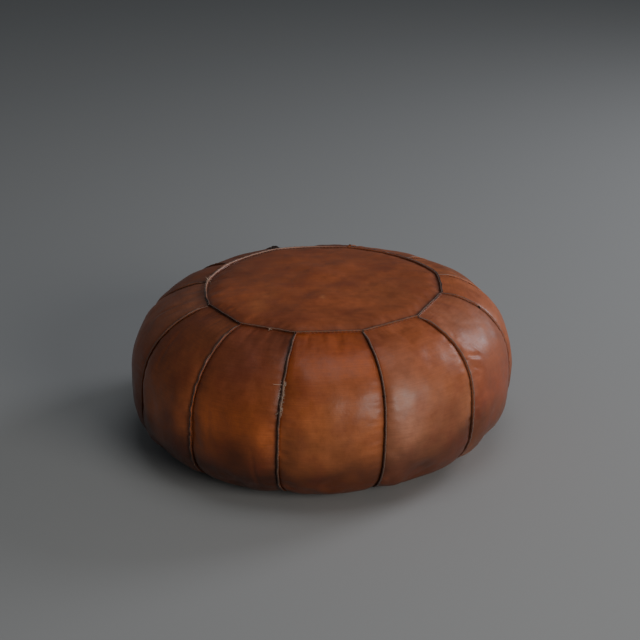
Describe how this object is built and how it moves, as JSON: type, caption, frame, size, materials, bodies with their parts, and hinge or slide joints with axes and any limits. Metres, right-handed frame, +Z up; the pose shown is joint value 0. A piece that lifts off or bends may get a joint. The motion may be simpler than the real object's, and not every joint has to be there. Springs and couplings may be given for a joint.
{
  "type": "moroccan leather pouf",
  "caption": "Low round floor pouf with a stuffed leather cover of tapered side panels and a many-sided top, raw-edge fins along its seams, and a zip across the base.",
  "frame": {"origin": "middle of the footprint, on the floor that the pouf stands on", "axes": "+Z up through the middle of the top panel; the zip runs along X, closed at its +X end"},
  "size_m": [0.6992, 0.6994, 0.29],
  "materials": {
    "cover_leather": "vegetable-tanned hide, waxed to a soft sheen, mottled with age",
    "seam_thread": "waxed cotton thread",
    "zip_tape": "woven cotton twill tape",
    "zip_metal": "pressed brass, dulled",
    "liner_cotton": "unbleached plain-weave cotton",
    "stuffing_wadding": "loose cotton wadding"
  },
  "bodies": {
    "cover": {"top_panel": "cover_leather", "side_panel_01": "cover_leather", "side_panel_02": "cover_leather", "side_panel_03": "cover_leather", "side_panel_04": "cover_leather", "side_panel_05": "cover_leather", "side_panel_06": "cover_leather", "side_panel_07": "cover_leather", "side_panel_08": "cover_leather", "side_panel_09": "cover_leather", "side_panel_10": "cover_leather", "side_panel_11": "cover_leather", "side_panel_12": "cover_leather", "base_panel_left": "cover_leather", "base_panel_right": "cover_leather", "side_seam_thread_01": "seam_thread", "side_seam_thread_02": "seam_thread", "side_seam_thread_03": "seam_thread", "side_seam_thread_04": "seam_thread", "side_seam_thread_05": "seam_thread", "side_seam_thread_06": "seam_thread", "side_seam_thread_07": "seam_thread", "side_seam_thread_08": "seam_thread", "side_seam_thread_09": "seam_thread", "side_seam_thread_10": "seam_thread", "side_seam_thread_11": "seam_thread", "side_seam_thread_12": "seam_thread", "top_seam_thread": "seam_thread", "base_seam_thread": "seam_thread", "zip_seam_thread_left": "seam_thread", "zip_seam_thread_right": "seam_thread", "zip_tape_left": "zip_tape", "zip_tape_right": "zip_tape", "zip_teeth_left": "zip_metal", "zip_teeth_right": "zip_metal", "zip_top_stop_left": "zip_metal", "zip_top_stop_right": "zip_metal", "zip_bottom_stop": "zip_metal", "liner_bag": "liner_cotton", "stuffing": "stuffing_wadding"},
    "zip_slider": {"zip_slider_front": "zip_metal", "zip_slider_back": "zip_metal"},
    "zip_pull": {"zip_pull": "zip_metal"}
  },
  "joints": [
    {"name": "zip_slide", "type": "slide", "parent": "cover", "child": "zip_slider", "axis": [-1, 0, 0], "range_m": [0, 0.28]},
    {"name": "pull_hinge", "type": "hinge", "parent": "zip_slider", "child": "zip_pull", "pos_m": [0.14113, 0, 0.0076], "axis": [0, -1, 0], "range_deg": [-14, 164]}
  ]
}
